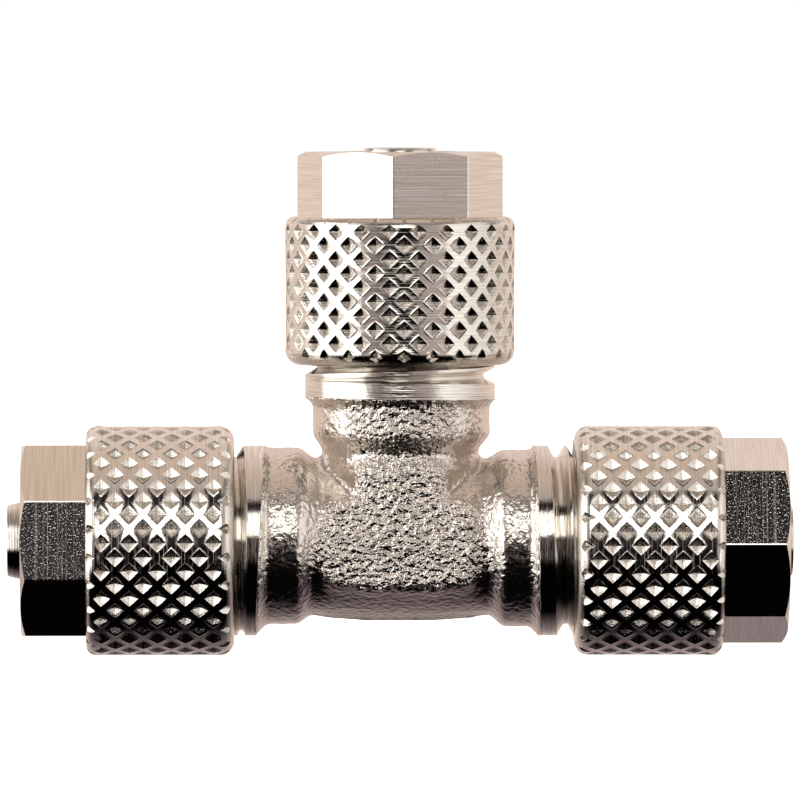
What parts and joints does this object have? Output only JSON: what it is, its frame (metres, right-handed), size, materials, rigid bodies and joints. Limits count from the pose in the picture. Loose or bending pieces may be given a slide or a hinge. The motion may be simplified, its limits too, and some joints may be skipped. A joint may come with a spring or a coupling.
{
  "type": "compression tee fitting",
  "caption": "Equal tee for plastic air tube in nickel-plated brass: a forged body with bored spigots, and knurled union nuts with octagonal flats that screw down over the tube.",
  "frame": {"origin": "the point where the axes of the arms cross, in the middle of the tee's run", "axes": "+X along the run to the right arm, +Z along the branch arm, +Y to the back"},
  "size_m": [0.0412, 0.012, 0.0266],
  "materials": {
    "forged_body": "nickel plated over a hot-forged skin, with turned collars and threads",
    "turned_nut": "nickel plated, turned and knurled, with milled flats"
  },
  "bodies": {
    "tee": {"tee_body": "forged_body"},
    "left_nut": {"left_nut": "turned_nut"},
    "right_nut": {"right_nut": "turned_nut"},
    "branch_nut": {"branch_nut": "turned_nut"}
  },
  "joints": [
    {"name": "left_nut_unscrew", "type": "slide", "parent": "tee", "child": "left_nut", "axis": [-1, 0, 0], "range_m": [-0.001, 0.011]},
    {"name": "right_nut_unscrew", "type": "slide", "parent": "tee", "child": "right_nut", "axis": [1, 0, 0], "range_m": [-0.001, 0.011]},
    {"name": "branch_nut_unscrew", "type": "slide", "parent": "tee", "child": "branch_nut", "axis": [0, 0, 1], "range_m": [-0.001, 0.011]}
  ]
}
